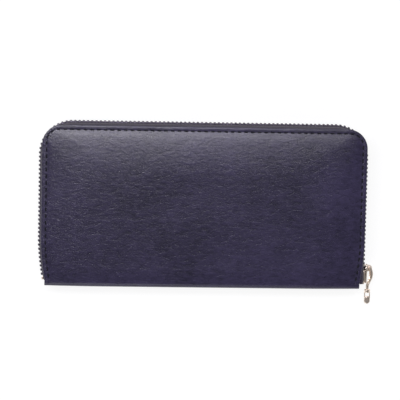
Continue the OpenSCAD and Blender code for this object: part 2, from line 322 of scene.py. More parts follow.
def arc(cx, cy, radius, start, stop, count):
    return [(cx + radius * math.cos(math.radians(a)), cy + radius * math.sin(math.radians(a)))
            for a in np.linspace(start, stop, count)]


def taperAt(y):  # how far a side edge has come in at height y
    share = np.clip((cover["taperStart"] - y) / (cover["taperStart"] - panelStart), 0, 1.2)
    return cover["taper"] * share ** 1.6


class SideLine:  # up the right side, along the top and down the left, by length along it
    def __init__(self, half, top, radius, start, taperRight=1, taperLeft=1, step=0.2):
        side = np.arange(start, top - radius, step)
        turn = np.linspace(0, 90, 60)
        right = [(half - taperRight * taperAt(y), y) for y in side]
        left = [(-half + taperLeft * taperAt(y), y) for y in side[::-1]]
        points = right + arc(half - radius, top - radius, radius, 0, 90, len(turn))
        points += arc(-half + radius, top - radius, radius, 90, 180, len(turn)) + left
        self.points = np.array(points)
        gaps = np.linalg.norm(np.diff(self.points, axis=0), axis=1)
        self.lengths = np.concatenate([[0], np.cumsum(gaps)])
        self.length = self.lengths[-1]

    def at(self, s):
        spot = np.array([np.interp(s, self.lengths, self.points[:, k]) for k in (0, 1)])
        ahead = np.array([np.interp(s + 0.3, self.lengths, self.points[:, k]) for k in (0, 1)])
        behind = np.array([np.interp(s - 0.3, self.lengths, self.points[:, k]) for k in (0, 1)])
        along = ahead - behind
        along /= np.linalg.norm(along, axis=0)
        return spot, along, np.array([along[1], -along[0]])

    def frames(self, stations):
        for s in stations:
            spot, along, out = self.at(s)
            yield (np.array([spot[0], spot[1], 0.0]), np.array([along[0], along[1], 0.0]),
                   np.array([out[0], out[1], 0.0]))


def flip(points):  # upper pieces turned over in the middle plane to make lower ones
    turned = np.array(points, float)
    turned[:, 2] = thick - turned[:, 2]
    return turned


# the leather wrap: a cover with its turned edge, stitch groove and padded crown, the roll
# and half of the spine
marginDrop = 1.98     # how far the stitched margin lies below the crown's top
leatherThick = 1.2
wrapProfile = [       # distance in from the edge, drop below the crown's top
    (3.4, marginDrop + leatherThick), (0.6, marginDrop + leatherThick), (0.15, 2.98), (0.0, 2.7),
    (0.02, 2.4), (0.18, 2.14), (0.5, 2.02), (1.1, 1.97), (1.8, 1.97), (2.2, 1.98), (2.48, 2.01),
    (2.72, 2.03), (2.96, 2.0), (3.2, 1.95), (3.6, 1.87), (4.2, 1.735), (5.0, 1.575), (5.7, 1.46),
    (6.5, 1.345), (8.0, 1.17), (10.0, 0.97), (12.0, 0.795), (15.0, 0.56), (17.5, 0.395),
    (20.0, 0.26), (24.0, 0.1), (28.0, 0.0),
]


def ringRadius(inset, corner):
    drop = (cover["cornerRadius"] - cover["stitchRadius"]) / cover["stitchInset"]
    return corner - drop * min(inset, 3.2) + 0.6 * max(inset - 3.2, 0)


# half an edge ring, then its mirror: side, corner and top at a distance in from the edge
def wrapRing(inset, corner, sideCount, turnCount, topCount):
    radius = ringRadius(inset, corner)
    half, top = coverHalf - inset, coverTop - inset
    share = np.linspace(0, 1, sideCount) ** 0.8
    heights = panelStart + (top - radius - panelStart) * share
    side = [(half - taperAt(y), y) for y in heights]
    turn = arc(half - radius, top - radius, radius, 0, 90, 2 * turnCount + 1)[1:]
    across = np.linspace(half - radius, -(half - radius), topCount)[1:-1]
    right = side + turn
    left = [(-x, y) for x, y in right[::-1]]
    return right + [(x, top) for x in across] + left


# on the roll the relief dies away and the leather keeps its thickness
def flatten(drop, share, relief):
    seen = min(drop, marginDrop + leatherThick * 0.5)
    return relief * seen * (1 - 0.85 * share ** 1.6) + (drop - seen)


def wrap(name, height, foot, corner, turned, relief=1.0):
    sideCount, turnCount, topCount = 46, 6, 90
    rings = [wrapRing(inset, corner, sideCount, turnCount, topCount) for inset, _ in wrapProfile]
    count = len(rings[0])
    drops = [drop for _, drop in wrapProfile]
    points = [(x, y, height - flatten(drop, 0, relief)) for ring, drop in zip(rings, drops)
              for x, y in ring]
    faces = gridFaces(len(rings), count)
    # the middle is filled between the innermost ring's two sides
    arm = sideCount + turnCount
    inner = [np.array(rings[-1][k]) for k in range(count)]
    base = (len(rings) - 1) * count
    wide = count - 2 * arm + 2
    grid = np.zeros((arm, wide), int)
    bottomRight, bottomLeft = inner[0], inner[-1]
    for row in range(arm):
        for col in range(wide):
            if col == 0:
                grid[row, col] = base + row
            elif col == wide - 1:
                grid[row, col] = base + count - 1 - row
            elif row == arm - 1:
                grid[row, col] = base + arm - 1 + col
            else:
                u, v = col / (wide - 1), row / (arm - 1)
                right, left, upper = inner[row], inner[count - 1 - row], inner[arm - 1 + col]
                lower = bottomRight * (1 - u) + bottomLeft * u
                corners = ((bottomRight * (1 - u) + bottomLeft * u) * (1 - v)
                           + (inner[arm - 1] * (1 - u) + inner[count - arm] * u) * v)
                spot = right * (1 - u) + left * u + lower * (1 - v) + upper * v - corners
                grid[row, col] = len(points)
                points.append((spot[0], spot[1], height))
    for row in range(arm - 1):
        for col in range(wide - 1):
            faces.append((grid[row, col], grid[row, col + 1], grid[row + 1, col + 1],
                          grid[row + 1, col]))
    # the roll and the spine's wall carry on from the lower edge
    edge = [k * count for k in range(len(rings))] + list(grid[0, 1:-1])
    edge += [k * count + count - 1 for k in range(len(rings) - 1, -1, -1)]
    edgeDrops = drops + [0.0] * (wide - 2) + drops[::-1]
    rollHeight = height - cover["rollRadius"]
    steps = [("roll", a) for a in np.linspace(0, 90, 10)[1:]]
    steps += [("wall", z) for z in np.linspace(rollHeight, foot, 10)[1:]]
    last = edge
    for kind, value in steps:
        fresh = []
        for index, drop in zip(edge, edgeDrops):
            x = points[index][0]
            share = value / 90 if kind == "roll" else 1
            reach = cover["rollRadius"] - flatten(drop, share, relief)
            if kind == "roll":
                a = math.radians(value)
                spot = (x, panelStart - reach * math.sin(a), rollHeight + reach * math.cos(a))
            else:
                spot = (x, panelStart - reach, value)
            fresh.append(len(points))
            points.append(spot)
        faces += [(last[k], fresh[k], fresh[k + 1], last[k + 1]) for k in range(len(edge) - 1)]
        last = fresh
    points = np.array(points)
    lift = np.array([noise.noise(Vector((x / 34, y / 26, 3.1))) for x, y, _ in points])
    inside = np.clip((coverHalf - np.abs(points[:, 0]) - 4) / 14, 0, 1)
    inside *= np.clip((coverTop - points[:, 1] - 4) / 14, 0, 1)
    inside *= np.clip((points[:, 1] - panelStart) / 10, 0, 1)
    easing = np.clip(1 - (points[:, 1] - panelStart) / 9, 0, 1) ** 2
    easing = np.where(points[:, 1] < panelStart, np.cos(np.clip(
        (panelStart - points[:, 1]) / cover["rollRadius"], 0, 1) * math.pi / 2), easing)
    points[:, 2] -= cover["ease"] * easing * np.clip((points[:, 2] - rollHeight) / 3, 0, 1)
    onTop = points[:, 2] > rollHeight + 1
    points[:, 2] -= np.where(onTop, cover["sag"] * np.clip(lift + 0.5, 0, 1) * inside, 0)
    if turned:
        points[:, 2] = height - points[:, 2]
    return addMesh(name, points, faces, "cover")


crownTop = thick + cover["crown"]
upperWrap = wrap("upper_cover_wrap", crownTop, middle, cover["cornerRadius"], False)
lowerWrap = wrap("lower_cover_wrap", thick, middle, cover["lowerRadius"], True, 0.3)
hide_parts("top_panel", "spine_upper")
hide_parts("bottom_panel", "spine_lower")
rollInner = crownTop - cover["rollRadius"]
rollInner * mm
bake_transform(upperWrap)
cover["rollRadius"] * mm
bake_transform(lowerWrap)
print("wrap made")


# stitches in the groove
stitch = {"pitch": 3.92, "length": 2.9, "radius": 0.52, "flat": 0.72, "dip": 0.45, "slant": 2.0}


def threadRing(centre, side, size, flat, count):
    return [centre + side * size * math.cos(a) + np.array([0, 0, flat * size * math.sin(a)])
            for a in np.linspace(0, 2 * math.pi, count + 1)[:-1]]


def stitches(name, line, height, body, node, turned, relief=1.0):
    parts = []
    grooveDrop = max(relief * drop for inset, drop in wrapProfile if 2.5 < inset < 3)
    count = int(line.length / stitch["pitch"])
    step = line.length / count
    for spot, along, out in line.frames((np.arange(count) + 0.5) * step):
        turn = math.radians(stitch["slant"])
        along = along * math.cos(turn) + out * math.sin(turn)
        side = np.array([along[1], -along[0], 0])
        rings = []
        for t in np.linspace(-1, 1, 9):
            size = stitch["radius"] * (1 - 0.55 * abs(t) ** 4)
            centre = spot + along * t * stitch["length"] / 2
            centre[2] = height - grooveDrop - stitch["dip"] * t ** 4
            rings.append(threadRing(centre, side, size, stitch["flat"], 8))
        parts.append(tube(rings))
    points, faces = gather(parts)
    if turned:
        points[:, 2] = height - points[:, 2]
    piece = addMesh(name, points, faces, "thread", body)
    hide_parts(node)


def stitchLine(corner):
    return SideLine(coverHalf - cover["stitchInset"], coverTop - cover["stitchInset"],
                    ringRadius(cover["stitchInset"], corner), panelStart + 1)


stitches("upper_stitches", stitchLine(cover["cornerRadius"]), crownTop, "top_cover",
         "stitching_upper", False)
stitches("lower_stitches", stitchLine(cover["lowerRadius"]), thick, "bottom_cover",
         "stitching_lower", True, 0.3)
print("stitches made")


# the zip: a bowed tape and a row of teeth on each cover
chainLine = SideLine(chain["half"], chain["top"], chain["radius"], chain["start"], 0, 1)
tapeProfile = [
    (-2.6, 23.15), (-1.5, 22.9), (-0.75, 22.2), (-0.25, 21.0), (0.05, 19.4), (0.12, 17.8),
    (0.05, 16.6), (0.0, 15.9), (0.3, 15.5), (0.42, 15.2), (0.3, 14.9), (-0.3, 14.9),
    (-0.42, 15.2), (-0.5, 15.7), (-0.55, 16.6), (-0.48, 17.8), (-0.55, 19.4), (-0.85, 21.0),
    (-1.3, 22.0), (-2.0, 22.4), (-2.6, 22.5),
]


def sweep(line, profile, step):
    count = int(line.length / step)
    rings = [[spot + out * o + np.array([0, 0, z]) for o, z in profile]
             for spot, _, out in line.frames(np.linspace(0, line.length, count))]
    return tube(rings)


def toothShape(bulk):  # X along the zip, Y out of it, Z from the tape to the tip
    levels = [(0.0, 0.42, 0.80), (0.15, 0.50, 0.95), (0.9, 0.52, 1.02), (1.5, 0.60, 1.16),
              (2.1, 0.66, 1.20), (2.7, 0.64, 1.14), (3.1, 0.50, 0.92), (3.25, 0.3, 0.6)]
    rings = []
    for z, halfLong, halfDeep in levels:
        corner = 0.32 * halfLong
        ring = []
        halfDeep *= bulk
        for sx, sy, start in ((1, 1, 0), (-1, 1, 90), (-1, -1, 180), (1, -1, 270)):
            ring += arc(sx * (halfLong - corner), sy * (halfDeep - corner), corner, start,
                        start + 90, 4)
        rings.append([(x, y, z) for x, y in ring])
    return tube(rings)


def teethRow(name, line, shift, body, node, turned):
    shape, shapeFaces = toothShape(chain["upperBulk"] if turned else chain["lowerBulk"])
    stations = np.arange(chain["first"] + shift, line.length - chain["last"], chain["pitch"])
    parts = []
    for spot, along, out in line.frames(stations):
        placed = (spot + np.outer(shape[:, 0], along) + np.outer(shape[:, 1], out)
                  + np.outer(shape[:, 2] + teethLow[2] - 0.1, (0, 0, 1)))
        parts.append((placed, shapeFaces))
    points, faces = gather(parts)
    if turned:
        points = flip(points)
    piece = addMesh(name, points, faces, "teeth", body)
    sharpen(piece, 50)
    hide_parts(node)


tapePoints, tapeFaces = sweep(chainLine, tapeProfile, 1.6)
upperTape = addMesh("upper_zip_tape", tapePoints, tapeFaces, "tape", "top_cover")
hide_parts("zip_tape_upper")
lowerTape = addMesh("lower_zip_tape", flip(tapePoints), tapeFaces, "tape", "bottom_cover")
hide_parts("zip_tape_lower")
teethRow("lower_zip_teeth", chainLine, 0.0, "bottom_cover", "zip_teeth_lower", False)
teethRow("upper_zip_teeth", chainLine, chain["pitch"] / 2, "top_cover", "zip_teeth_upper", True)
print("zip made")


slideLow, slideHigh = nodeBox("slider_body")
lugLow, lugHigh = nodeBox("slider_lug")
tabLow, tabHigh = nodeBox("pull_tab")
pullAt = np.array(joints["pull_hinge"]["pos_m"]) / mm
neckAt = np.array(joints["tab_swivel"]["pos_m"]) / mm
slider = {
    "plate": 1.2,
    "edge": 0.35,
    "narrow": 0.8,
    "lip": 1.0,
}


# broad and rounded where the rows part, narrower at the other end
def plateOutline(length, width, narrow):
    half = length / 2
    wide, slim = width / 2, width / 2 * narrow
    right = arc(wide - 1.6, half - 1.7, 1.6, 0, 90, 7)
    lower = arc(slim - 0.8, -half + 0.8, 0.8, -90, 0, 6)
    outline = [(slim, -half * 0.35)] + [(slim + (wide - slim) * 0.6, half * 0.15)] + right
    mirrored = [(-x, y) for x, y in outline[::-1]]
    return outline + [(0, half)] + mirrored + [(-x, y) for x, y in lower[::-1]] + lower


# plates are drawn with X across the zip and Y along it; Z comes out of the zip
def sliderAxes(centre):
    return Matrix.Translation(Vector(centre)) @ Matrix(((0, 0, 1, 0), (0, 1, 0, 0),
                                                        (-1, 0, 0, 0), (0, 0, 0, 1)))


sliderCentre = ((slideLow[0] + slideHigh[0]) / 2, (slideLow[1] + slideHigh[1]) / 2, middle)
slideHalf = (slideHigh[0] - slideLow[0]) / 2
slideLong = slideHigh[1] - slideLow[1]
slideWide = slideHigh[2] - slideLow[2]
axes = sliderAxes(sliderCentre)
outlinePlate = plateOutline(slideLong, slideWide, slider["narrow"])


def joined(name, pieces):  # finished pieces of one body and finish as one object
    parts = []
    for piece in pieces:
        mesh = piece.data
        points = np.array([v.co for v in mesh.vertices]) / mm
        parts.append((points, [tuple(p.vertices) for p in mesh.polygons]))
        bpy.data.objects.remove(piece)
    points, faces = gather(parts)
    piece = addMesh(name, points, faces, "gold")
    sharpen(piece)
    return piece


def bar(x0, x1, y0, y1, z0, z1, radius=0.25):
    return rounded("bar", [(x0, y0), (x1, y0), (x1, y1), (x0, y1)], z0, z1, radius, "gold")


def sliderBody():
    outer = rounded("outer", outlinePlate, slideHalf - slider["plate"], slideHalf, slider["edge"],
                    "gold", place=axes)
    inner = rounded("inner", outlinePlate, -slideHalf, -slideHalf + slider["plate"],
                    slider["edge"], "gold", place=axes)
    pieces = [outer, inner]
    inside, outside = slideLow[0] + 1, slideHigh[0] - 1
    y0, y1 = sliderCentre[1] - slideLong * 0.42, sliderCentre[1] + slideLong * 0.22
    reach = slideWide / 2 * slider["narrow"]
    for side in (-1, 1):
        low, high = sorted((middle + side * reach, middle + side * (reach - slider["lip"])))
        pieces.append(bar(inside, sliderCentre[0] - 0.75, y0, y1, low, high))
        pieces.append(bar(sliderCentre[0] + 0.55, outside, y0, y1, low, high))
    pieces.append(bar(inside, outside, sliderCentre[1] + 1.2, slideHigh[1] - 1.2,
                      middle - 0.25, middle + 0.25, 0.08))
    return joined("slider", pieces)


body = sliderBody()
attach(body, "slider")
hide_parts("slider_body")

# the lug is a small arch with a waist
lugOutline = (arc(pullAt[0], pullAt[1], lugHigh[0] - pullAt[0], -80, 80, 11)
              + [(lugLow[0] + 0.9, lugHigh[1] + 0.1), (lugLow[0] - 0.2, lugHigh[1] + 0.7),
                 (lugLow[0] - 0.2, lugLow[1] - 1.1), (lugLow[0] + 0.7, lugLow[1] - 0.4)])
lug = rounded("slider_arch", lugOutline, middle - 1.15, middle + 1.15, 0.3, "gold", "slider")
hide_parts("slider_lug")


def smooth(points, count):  # a curve through points, evenly spaced
    points = np.array(points, float)
    t = np.linspace(0, len(points) - 1, 40 * len(points))
    curve = []
    for value in t:
        k = min(int(value), len(points) - 2)
        f = value - k
        p0, p1, p2, p3 = (points[max(min(k + i, len(points) - 1), 0)] for i in (-1, 0, 1, 2))
        curve.append(0.5 * (2 * p1 + (p2 - p0) * f + (2 * p0 - 5 * p1 + 4 * p2 - p3) * f ** 2
                            + (3 * p1 - p0 - 3 * p2 + p3) * f ** 3))
    curve = np.array(curve)
    run = np.concatenate([[0], np.cumsum(np.linalg.norm(np.diff(curve, axis=0), axis=1))])
    even = np.linspace(0, run[-1], count)
    return np.array([np.interp(even, run, curve[:, k]) for k in range(curve.shape[1])]).T


# columns: out from the cross bar, down from it, apart, half width seen from above, half depth
bailRoute = [
    (0.0, 0.7, 2.1, 0.75, 0.55),
    (0.6, 0.5, 2.1, 0.7, 0.6),
    (1.0, -0.9, 2.1, 0.78, 0.6),
    (1.45, -3.2, 2.05, 0.85, 0.6),
    (1.2, -5.8, 1.8, 0.8, 0.58),
    (0.4, -8.2, 1.2, 0.7, 0.55),
    (-0.3, -9.9, 0.6, 0.75, 0.55),
    (-0.6, -11.2, 0.3, 0.85, 0.55),
    (-0.6, -12.6, 0.2, 0.85, 0.5),
]


def bailArm(side):
    route = smooth(bailRoute, 30)
    rings = []
    for k, (out, down, apart, wide, deep) in enumerate(route):
        before, after = route[max(k - 1, 0)], route[min(k + 1, len(route) - 1)]
        along = np.array([after[0] - before[0], after[1] - before[1]])
        along /= np.linalg.norm(along)
        across = np.array([along[1], -along[0]])
        centre = np.array([pullAt[0] + out, pullAt[1] + down, middle + side * apart])
        ring = []
        for a in np.linspace(0, 2 * math.pi, 17)[:-1]:
            c, s = math.cos(a), math.sin(a)
            x = math.copysign(abs(c) ** 0.6, c) * wide
            z = math.copysign(abs(s) ** 0.6, s) * deep
            ring.append(centre + np.array([across[0] * x, across[1] * x, z]))
        rings.append(ring)
    return tube(rings)


# a turned rod: radii is a list of (share of the way, radius)
def rod(start, end, radii, count=20):
    start, end = np.array(start, float), np.array(end, float)
    axis = (end - start) / np.linalg.norm(end - start)
    side = np.cross(axis, (0.3, 0.5, 0.81))
    side /= np.linalg.norm(side)
    other = np.cross(axis, side)
    rings = [[start + (end - start) * share + radius * (side * math.cos(a) + other * math.sin(a))
              for a in np.linspace(0, 2 * math.pi, count + 1)[:-1]] for share, radius in radii]
    return tube(rings)


bail = addMesh("pull_bail_bowed", *gather([
    bailArm(-1), bailArm(1),
    rod((neckAt[0], neckAt[1] - 0.4, middle), (neckAt[0], neckAt[1] - 2.4, middle),
        [(0, 0.55), (0.5, 0.5), (0.9, 0.5), (1, 0.3)]),
]), "gold", "pull_bail")
sharpen(bail, 60)
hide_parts("pull_bail")
crossBar = addMesh("pull_cross_bar", *rod(
    (pullAt[0], pullAt[1], middle - 2.75), (pullAt[0], pullAt[1], middle + 2.75),
    [(0, 0.3), (0.03, 0.62), (0.1, 0.7), (0.14, 0.6), (0.86, 0.6), (0.9, 0.7), (0.97, 0.62),
     (1, 0.3)]),
    "gold", "pull_bail")
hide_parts("pull_crossbar")


tabPart = {"rail": 0.62, "thick": 0.62, "window": 2.3, "collar": 2.3, "edge": 0.55}


def tabPieces():  # a collar, two rails round a window and a solid round end
    x, half, low, top = neckAt[0], (tabHigh[0] - tabLow[0]) / 2, tabLow[1], tabHigh[1]
    under = top - tabPart["collar"] - tabPart["window"]
    collar = rod((x, top, middle), (x, top - tabPart["collar"], middle),
                 [(0, 0.7), (0.03, half * 0.8), (0.14, half * 0.97), (0.3, half), (0.72, half),
                  (0.9, half * 0.93), (0.98, half * 0.7), (1, 0.5)], 28)
    pieces = []
    for side in (-1, 1):
        x0, x1 = sorted((x + side * half * 0.98, x + side * (half - tabPart["rail"])))
        pieces.append(bar(x0, x1, under - 0.8, top - tabPart["collar"] + 0.4,
                          middle - tabPart["thick"], middle + tabPart["thick"], 0.2))
    end = arc(x, low + half, half, -180, 0, 19)
    end += [(x + half, under - 0.1), (x + half - 0.3, under + 0.2),
            (x - half + 0.3, under + 0.2), (x - half, under - 0.1)]
    pieces.append(rounded("end", end, middle - tabPart["thick"], middle + tabPart["thick"],
                          tabPart["edge"], "gold", segments=5))
    merged = joined("rails", pieces)
    points = np.array([v.co for v in merged.data.vertices]) / mm
    faces = [tuple(p.vertices) for p in merged.data.polygons]
    bpy.data.objects.remove(merged)
    return gather([(points, faces), collar])


tab = addMesh("pull_end_tab", *tabPieces(), "gold", "pull_tab")
sharpen(tab, 35)
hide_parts("pull_tab")
print("slider made")


# the inside starts with a cut panel with folded edges; swell lifts its middle
def softSlab(name, x0, x1, y0, y1, z0, z1, finish, body, corner=2.0, swell=0.0):
    outline = (arc(x1 - corner, y1 - corner, corner, 0, 90, 7)
               + arc(x0 + corner, y1 - corner, corner, 90, 180, 7) + [(x0, y0), (x1, y0)])
    edge = min((z1 - z0) * 0.45, 0.4)
    levels = [(edge, z0), (edge * 0.3, z0 + edge * 0.3), (0, z0 + edge), (0, z1 - edge),
              (edge * 0.3, z1 - edge * 0.3), (edge, z1), (4, z1 + swell * 0.6), (14, z1 + swell)]
    cx, cy = (x0 + x1) / 2, (y0 + y1) / 2
    rings = []
    for inset, z in levels:
        fx = 1 - inset / ((x1 - x0) / 2)
        fy = 1 - inset / ((y1 - y0) / 2)
        rings.append([(cx + (x - cx) * fx, cy + (y - cy) * fy, z) for x, y in outline])
    points, faces = tube(rings)
    return addMesh(name, points, faces, finish, body)


hem = {"pocketPitch": 3.0, "coinPitch": 3.2, "radius": 0.2, "flat": 0.8}


# a straight row of stitches lying proud of the surface
def seam(start, end, height, pitch, turned):
    start, end = np.array(start, float), np.array(end, float)
    run = np.linalg.norm(end - start)
    along = np.append((end - start) / run, 0)
    side = np.array([along[1], -along[0], 0])
    parts = []
    count = int(run / pitch)
    for k in range(count):
        middlePoint = np.append(start, height) + along * (k + 0.5) * run / count
        rings = []
        for t in np.linspace(-1, 1, 7):
            size = hem["radius"] * (1 - 0.5 * t ** 4)
            centre = middlePoint + along * t * pitch * 0.33 + np.array([0, 0, 0.1 - 0.22 * t ** 4])
            rings.append(threadRing(centre, side, size, hem["flat"], 6))
        parts.append(tube(rings))
    points, faces = gather(parts)
    if turned:
        points = flip(points)
    return points, faces


def turnOver(piece):  # in the middle plane
    for v in piece.data.vertices:
        v.co.z = thick * mm - v.co.z
    piece.data.flip_normals()


def cardPockets(whose, body, turned):
    rows = []
    for i in (1, 2, 3, 4):
        node = f"{whose}_card_pocket_{i}"
        low, high = nodeBox(node)
        z0, z1 = (low[2], high[2]) if not turned else (thick - high[2], thick - low[2])
        for half, (x0, x1) in {"left": (low[0], -0.3), "right": (0.3, high[0])}.items():
            piece = softSlab(f"{node}_{half}", x0, x1, low[1], high[1], z0, z1 - 0.05, "inner",
                             body, 1.2, 0.12)
            if turned:
                turnOver(piece)
            if half == "left":
                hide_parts(node)
        for x0, x1 in ((low[0] + 2, -2), (2, high[0] - 2)):
            rows.append(seam((x0, high[1] - 2.2), (x1, high[1] - 2.2), z1 + 0.02,
                             hem["pocketPitch"], turned))
    low, high = nodeBox(f"{whose}_card_pocket_4")
    z1 = high[2] if not turned else thick - low[2]
    for x in (low[0] + 1.6, -1.5, 1.5, high[0] - 1.6):
        rows.append(seam((x, low[1] + 1), (x, high[1] - 3), z1 + 0.04, hem["pocketPitch"], turned))
    points, faces = gather(rows)
    addMesh(f"{whose}_card_pocket_stitches", points, faces, "thread", body)


cardPockets("bottom", "bottom_cover", False)
cardPockets("top", "top_cover", True)
print("card pockets made")


def finishNode(node, finish):  # a piece whose shape is right keeps it and gets its finish
    piece = frame["nodes"][node]
    piece.data.materials.clear()
    piece.data.materials.append(finishes[finish])


for node, finish in {"bottom_board": "lining", "top_board": "lining", "bottom_lining": "lining",
                     "top_lining": "lining", "coin_base": "lining", "coin_side_left": "lining",
                     "coin_side_right": "lining", "coin_end_stops": "gold"}.items():
    finishNode(node, finish)

# coin pocket
coinLow, coinHigh = nodeBox("coin_wall_front")
backLow = nodeBox("coin_wall_back")[0]
coinWalls = {"stitchIn": 2.4, "swell": 0.1}
for side in ("front", "back"):
    wall = softSlab(f"coin_pocket_{side}", coinLow[0], coinHigh[0], coinLow[1], coinHigh[1],
                    coinLow[2], coinHigh[2] - coinWalls["swell"], "inner", "coin_pocket", 1.5,
                    coinWalls["swell"])
    if side == "back":
        turnOver(wall)
    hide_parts(f"coin_wall_{side}")
hemY = coinHigh[1] - coinWalls["stitchIn"]
hemX = coinHigh[0] - coinWalls["stitchIn"]
coinRows = []
for turned in (False, True):
    for start, end in (((-hemX, hemY), (hemX, hemY)), ((-hemX, coinLow[1] + 2), (-hemX, hemY - 1)),
                       ((hemX, coinLow[1] + 2), (hemX, hemY - 1))):
        coinRows.append(seam(start, end, coinHigh[2] + 0.02, hem["coinPitch"], turned))
addMesh("coin_pocket_stitches", *gather(coinRows), "thread", "coin_pocket")

# coin zip: tapes that curl over the wall's edge, and coils with real turns
coilLow, coilHigh = nodeBox("coin_coil_back")
coinTapeLow, coinTapeHigh = nodeBox("coin_tape_back")


def coinTape(name, node, turned):
    root, edge, base, top = coinTapeLow[1], coinTapeHigh[1], coinTapeLow[2], coinTapeHigh[2]
    profile = [(root - 3.0, base + 1.3), (root - 0.4, base + 1.2), (root + 0.5, base + 0.9),
               (edge + 0.2, base + 0.3), (edge + 0.45, base + 0.5), (edge + 0.4, top),
               (edge + 0.05, top), (edge - 0.1, base + 1.4), (root - 0.3, base + 1.75),
               (root - 3.0, base + 1.8)]
    rings = [[(x, y, z) for y, z in profile]
             for x in np.linspace(coinTapeLow[0] + 1, coinTapeHigh[0] - 1, 60)]
    points, faces = tube(rings)
    if turned:
        points = flip(points)
    piece = addMesh(name, points, faces, "tape", "coin_pocket")
    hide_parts(node)


def coinCoil(name, node, shift, turned):  # flattened turns along the tape's edge
    pitch, sides = 1.3, 6
    turns = int((coilHigh[0] - coilLow[0] - 2) / pitch)
    steps = turns * 10
    cy = (coilLow[1] + coilHigh[1]) / 2
    deep, wide = (coilHigh[1] - coilLow[1]) / 2 - 0.25, (coilHigh[2] - coilLow[2]) / 2 + 0.1
    rings = []
    for k in range(steps):
        a = 2 * math.pi * k / 10
        centre = np.array([coilLow[0] + 1 + shift + pitch * k / 10, cy + deep * math.cos(a),
                           coilLow[2] + 0.45 + wide * math.sin(a)])
        out = np.array([0, math.cos(a), math.sin(a)])
        rings.append([centre + 0.24 * (out * math.cos(b) + np.array([1, 0, 0]) * math.sin(b))
                      for b in np.linspace(0, 2 * math.pi, sides + 1)[:-1]])
    points, faces = tube(rings)
    if turned:
        points = flip(points)
    piece = addMesh(name, points, faces, "coil", "coin_pocket")
    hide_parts(node)


coinTape("coin_zip_tape_back", "coin_tape_back", False)
coinTape("coin_zip_tape_front", "coin_tape_front", True)
coinCoil("coin_zip_coil_back", "coin_coil_back", 0.0, False)
coinCoil("coin_zip_coil_front", "coin_coil_front", 0.65, True)

# coin slider and its flat pull
coinSlideLow, coinSlideHigh = nodeBox("coin_slider")
coinPullLow, coinPullHigh = nodeBox("coin_pull_tab")
coinPin = np.array(joints["coin_pull_hinge"]["pos_m"]) / mm
coinSlide = {"length": coinSlideHigh[0] - coinSlideLow[0], "wide": 5.6, "plate": 0.8}


def coinSlider():
    cx = (coinSlideLow[0] + coinSlideHigh[0]) / 2
    top = coinPin[1] - 1.3
    turn = Matrix(((0, 1, 0, 0), (0, 0, 1, 0), (1, 0, 0, 0), (0, 0, 0, 1)))
    outline = plateOutline(coinSlide["length"], coinSlide["wide"], 0.78)
    inner = plateOutline(coinSlide["length"], 3.8, 0.85)
    place = Matrix.Translation((cx, 0, middle)) @ turn
    pieces = [rounded("plate", outline, top - coinSlide["plate"], top, 0.22, "gold", place=place),
              rounded("plate", inner, coinSlideLow[1], coinSlideLow[1] + coinSlide["plate"], 0.2,
                      "gold", place=place)]
    pieces.append(bar(cx + 0.5, cx + 3.0, coinSlideLow[1] + 0.4, top - 0.4, middle - 0.22,
                      middle + 0.22, 0.06))
    loop = (arc(coinPin[0], coinPin[1], 1.2, -10, 190, 12)
            + [(coinPin[0] - 1.5, top - 0.1), (coinPin[0] + 1.5, top - 0.1)])
    pieces.append(rounded("loop", loop, middle - 0.68, middle + 0.68, 0.2, "gold"))
    return joined("coin_zip_slider", pieces)


coinBody = coinSlider()
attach(coinBody, "coin_slider")
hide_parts("coin_slider")


def coinPull():  # a flat leaf with a round end and two ears round the slider's loop
    long = coinPin[0] - coinPullLow[0]
    half = (coinPullHigh[2] - coinPullLow[2]) / 2
    leaf = arc(-long + half, 0, half, 90, 270, 15) + [(-4.2, -half * 0.72), (-2.6, -half * 0.95),
                                                     (-2.6, half * 0.95), (-4.2, half * 0.72)]
    turn = Matrix(((1, 0, 0, 0), (0, 0, 1, 0), (0, 1, 0, 0), (0, 0, 0, 1)))
    place = Matrix.Translation((coinPin[0], coinPin[1], middle)) @ turn
    pieces = [rounded("leaf", leaf, -0.48, 0.48, 0.2, "gold", place=place)]
    for side in (-1, 1):
        low, high = sorted((side * 1.05, side * 2.15))
        ear = [(-3.2, low), (0.75, low), (0.75, high), (-3.2, high)]
        pieces.append(rounded("ear", ear, -0.46, 0.46, 0.2, "gold", place=place))
    return joined("coin_zip_pull", pieces)


coinLeaf = coinPull()
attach(coinLeaf, "coin_pull")
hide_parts("coin_pull_tab")
pinPiece = addMesh("coin_zip_pull_pin", *rod(
    (coinPin[0], coinPin[1], middle - 2.2), (coinPin[0], coinPin[1], middle + 2.2),
    [(0, 0.2), (0.04, 0.42), (0.1, 0.45), (0.9, 0.45), (0.96, 0.42), (1, 0.2)], 14),
    "gold", "coin_pull")
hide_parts("coin_pull_bar")
print("coin pocket made")

# gussets: a folded cloth between a cover's lining and the coin pocket, glued by its two flanges
gusset = {"thick": 0.45, "rows": 30, "foldNear": 5.2, "foldFar": 8.6, "flange": 3.2}


# across the cloth, drawn upwards from the cover's lining to the coin wall; its turns are bends
def gussetFold(fold, outer, wall, gap):
    cloth = gusset["thick"] / 2 + 0.02
    centre = [(outer - 0.6 - gusset["flange"], cloth), (outer - 1.6, cloth), (outer - 0.8, 0.34),
              (outer - 0.45, 0.7)]
    for t in np.linspace(-0.96, 0.96, 23):
        share = (t + 1) / 2
        centre.append((outer - 0.6 + (wall - outer + 0.3) * share - fold * (1 - abs(t) ** 1.6),
                       1.0 + (gap - 2.0) * share))
    centre += [(wall - 0.15, gap - 0.7), (wall - 0.5, gap - 0.34), (wall - 1.2, gap - cloth),
               (wall - gusset["flange"], gap - cloth)]
    return smooth([(x, 0, z) for x, z in centre], 60)[:, [0, 2]]


